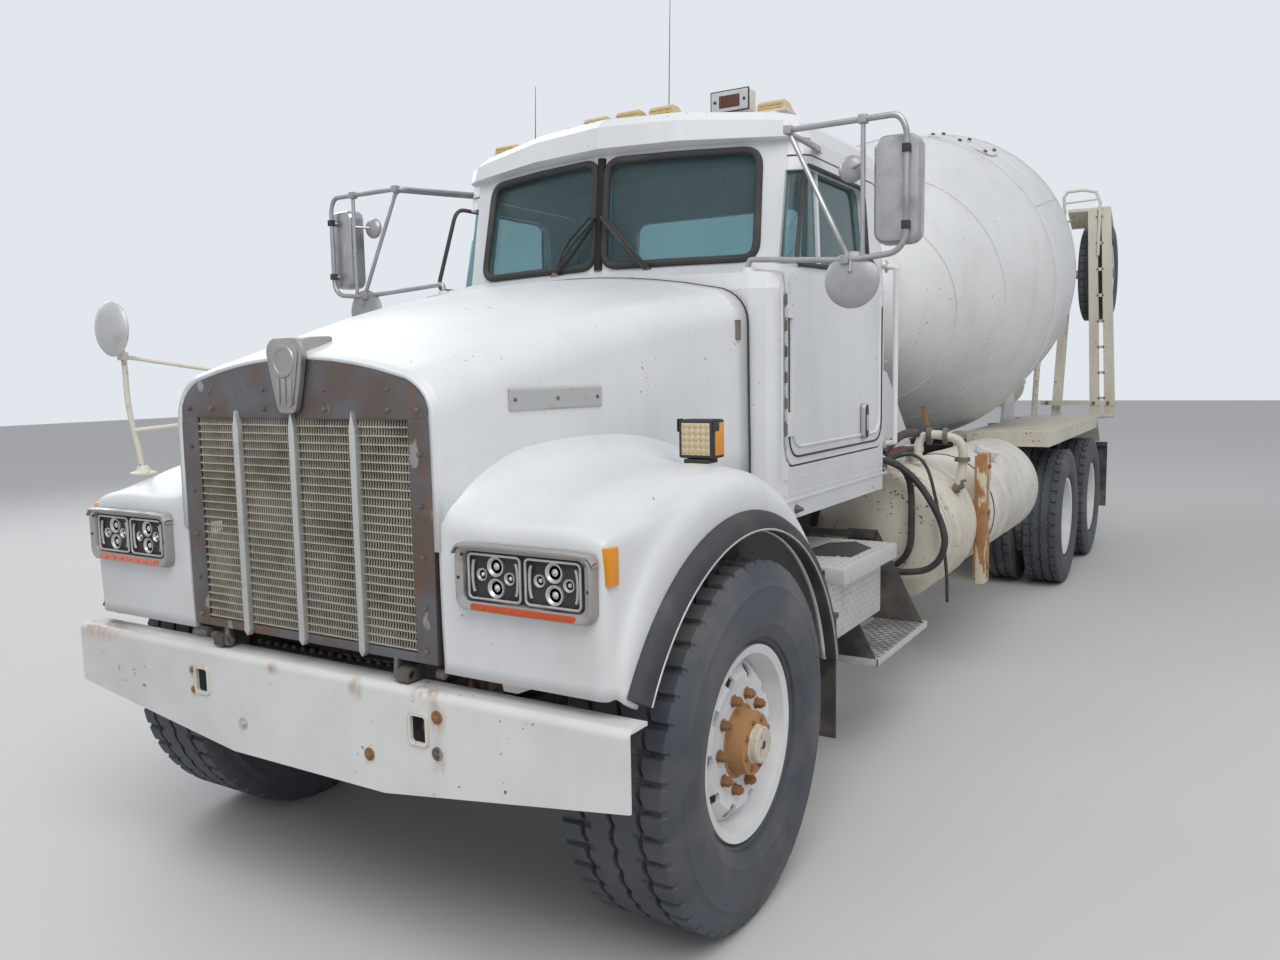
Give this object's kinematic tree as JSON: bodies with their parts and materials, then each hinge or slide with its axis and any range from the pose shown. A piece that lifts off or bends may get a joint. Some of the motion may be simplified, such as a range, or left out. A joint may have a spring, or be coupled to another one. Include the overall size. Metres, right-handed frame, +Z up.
{
  "type": "concrete mixer truck",
  "caption": "Conventional concrete mixer truck with tilting hood, opening doors, steered front wheels, turning inclined drum, folding chute and a lowering booster axle.",
  "frame": {"origin": "on the ground, under the middle of the overall box", "axes": "-Y is the way the truck drives, +X its left side, +Z up"},
  "size_m": [2.845, 9.9536, 3.5997],
  "materials": {
    "white_paint": "aged gloss, chipped",
    "cream_paint": "dull, dusty",
    "frame_paint": "dull",
    "steel": "stained",
    "black": "matt",
    "glass": "clear",
    "lamp_amber": "gloss",
    "hose_rubber": "matt",
    "flare_rubber": "matt",
    "tyre": "matt",
    "trim": "matt",
    "iron": "dull"
  },
  "bodies": {
    "truck": {"chassis_frame": "frame_paint", "front_bumper": "white_paint", "front_axle": "frame_paint", "drive_axles": "frame_paint", "engine_block": "iron", "radiator": "black", "cab_shell": "white_paint", "cab_glass": "glass", "cab_interior": "trim", "lamps": "lamp_amber", "mirrors": "steel", "side_steps": "steel", "water_tank": "cream_paint", "fuel_tank": "white_paint", "hose_outer": "hose_rubber", "hose_inner": "hose_rubber", "hose_drain": "hose_rubber", "drum_pedestal": "white_paint", "drum_drive": "iron", "roller_stand": "white_paint", "rear_fenders": "cream_paint", "mud_flaps": "black", "hopper": "cream_paint", "rear_ladder": "cream_paint"},
    "hood": {"hood": "white_paint", "fender_flares": "flare_rubber", "grille": "steel", "headlamps": "steel", "hood_mirror": "steel"},
    "door_left": {"door_left": "white_paint", "door_glass_left": "glass"},
    "door_right": {"door_right": "white_paint", "door_glass_right": "glass"},
    "knuckle_left": {"knuckle_left": "iron"},
    "knuckle_right": {"knuckle_right": "iron"},
    "tie_rod": {"tie_rod": "iron"},
    "front_wheel_left": {"front_tyre_left": "tyre", "front_rim_left": "white_paint"},
    "front_wheel_right": {"front_tyre_right": "tyre", "front_rim_right": "white_paint"},
    "drive_wheels_left_1": {"drive_tyres_left_1": "tyre", "drive_rims_left_1": "white_paint"},
    "drive_wheels_right_1": {"drive_tyres_right_1": "tyre", "drive_rims_right_1": "white_paint"},
    "drive_wheels_left_2": {"drive_tyres_left_2": "tyre", "drive_rims_left_2": "white_paint"},
    "drive_wheels_right_2": {"drive_tyres_right_2": "tyre", "drive_rims_right_2": "white_paint"},
    "drum": {"drum": "white_paint"},
    "roller_left": {"roller_left": "iron"},
    "roller_right": {"roller_right": "iron"},
    "chute_yoke": {"chute_yoke": "cream_paint"},
    "main_chute": {"main_chute": "cream_paint"},
    "fold_chute": {"fold_chute": "cream_paint"},
    "booster_arm": {"booster_arm": "cream_paint"},
    "booster_wheel_left": {"booster_tyre_left": "tyre", "booster_rim_left": "white_paint"},
    "booster_wheel_right": {"booster_tyre_right": "tyre", "booster_rim_right": "white_paint"}
  },
  "joints": [
    {"name": "hood_tilt", "type": "hinge", "parent": "truck", "child": "hood", "pos_m": [0, -4.93067, 0.862], "axis": [1, 0, 0], "range_deg": [0, 60]},
    {"name": "door_left_hinge", "type": "hinge", "parent": "truck", "child": "door_left", "pos_m": [0.905, -3.42567, 1.32], "axis": [0, 0, -1], "range_deg": [0, 70]},
    {"name": "door_right_hinge", "type": "hinge", "parent": "truck", "child": "door_right", "pos_m": [-0.905, -3.42567, 1.32], "axis": [0, 0, 1], "range_deg": [0, 70]},
    {"name": "steer_left", "type": "hinge", "parent": "truck", "child": "knuckle_left", "pos_m": [0.84, -4.22067, 0.56], "axis": [0, 0, 1], "range_deg": [-28, 28]},
    {"name": "steer_right", "type": "hinge", "parent": "truck", "child": "knuckle_right", "pos_m": [-0.84, -4.22067, 0.56], "axis": [0, 0, 1], "range_deg": [-28, 28]},
    {"name": "tie_rod_pin", "type": "hinge", "parent": "knuckle_left", "child": "tie_rod", "pos_m": [0.84, -4.07067, 0.424], "axis": [0, 0, 1], "range_deg": [-28, 28]},
    {"name": "front_wheel_left_spin", "type": "hinge", "parent": "knuckle_left", "child": "front_wheel_left", "pos_m": [0.965, -4.22067, 0.56], "axis": [1, 0, 0], "continuous": true},
    {"name": "front_wheel_right_spin", "type": "hinge", "parent": "knuckle_right", "child": "front_wheel_right", "pos_m": [-0.965, -4.22067, 0.56], "axis": [1, 0, 0], "continuous": true},
    {"name": "drive_wheels_left_1_spin", "type": "hinge", "parent": "truck", "child": "drive_wheels_left_1", "pos_m": [0.9055, 1.42933, 0.52], "axis": [1, 0, 0], "continuous": true},
    {"name": "drive_wheels_left_2_spin", "type": "hinge", "parent": "truck", "child": "drive_wheels_left_2", "pos_m": [0.9055, 2.77933, 0.52], "axis": [1, 0, 0], "continuous": true},
    {"name": "drive_wheels_right_1_spin", "type": "hinge", "parent": "truck", "child": "drive_wheels_right_1", "pos_m": [-0.9055, 1.42933, 0.52], "axis": [1, 0, 0], "continuous": true},
    {"name": "drive_wheels_right_2_spin", "type": "hinge", "parent": "truck", "child": "drive_wheels_right_2", "pos_m": [-0.9055, 2.77933, 0.52], "axis": [1, 0, 0], "continuous": true},
    {"name": "drum_spin", "type": "hinge", "parent": "truck", "child": "drum", "pos_m": [0, -0.37067, 2.013], "axis": [0, 0.9803, 0.1977], "continuous": true},
    {"name": "roller_left_spin", "type": "hinge", "parent": "truck", "child": "roller_left", "pos_m": [0.56447, 3.31187, 1.96296], "axis": [0, 0.9803, 0.1977], "continuous": true},
    {"name": "roller_right_spin", "type": "hinge", "parent": "truck", "child": "roller_right", "pos_m": [-0.56447, 3.31187, 1.96296], "axis": [0, 0.9803, 0.1977], "continuous": true},
    {"name": "chute_swivel", "type": "hinge", "parent": "truck", "child": "chute_yoke", "pos_m": [0, 4.11972, 1.7], "axis": [0, 0, 1], "range_deg": [-45, 45]},
    {"name": "chute_tilt", "type": "hinge", "parent": "chute_yoke", "child": "main_chute", "pos_m": [0, 4.11972, 1.7], "axis": [1, 0, 0], "range_deg": [-8, 10]},
    {"name": "chute_fold", "type": "hinge", "parent": "main_chute", "child": "fold_chute", "pos_m": [0, 4.83903, 1.51268], "axis": [1, 0, 0], "range_deg": [-168, 0]},
    {"name": "booster_lift", "type": "hinge", "parent": "truck", "child": "booster_arm", "pos_m": [0, 3.98933, 1.12], "axis": [1, 0, 0], "range_deg": [-95, 0]},
    {"name": "booster_wheel_left_spin", "type": "hinge", "parent": "booster_arm", "child": "booster_wheel_left", "pos_m": [0.985, 4.49067, 2.61835], "axis": [1, 0, 0], "continuous": true},
    {"name": "booster_wheel_right_spin", "type": "hinge", "parent": "booster_arm", "child": "booster_wheel_right", "pos_m": [-0.985, 4.49067, 2.61835], "axis": [1, 0, 0], "continuous": true}
  ],
  "couplings": [
    {"joint": "steer_right", "follows": "steer_left", "ratio": 1},
    {"joint": "tie_rod_pin", "follows": "steer_left", "ratio": -1},
    {"joint": "roller_left_spin", "follows": "drum_spin", "ratio": -6.3849},
    {"joint": "roller_right_spin", "follows": "drum_spin", "ratio": -6.3849}
  ]
}
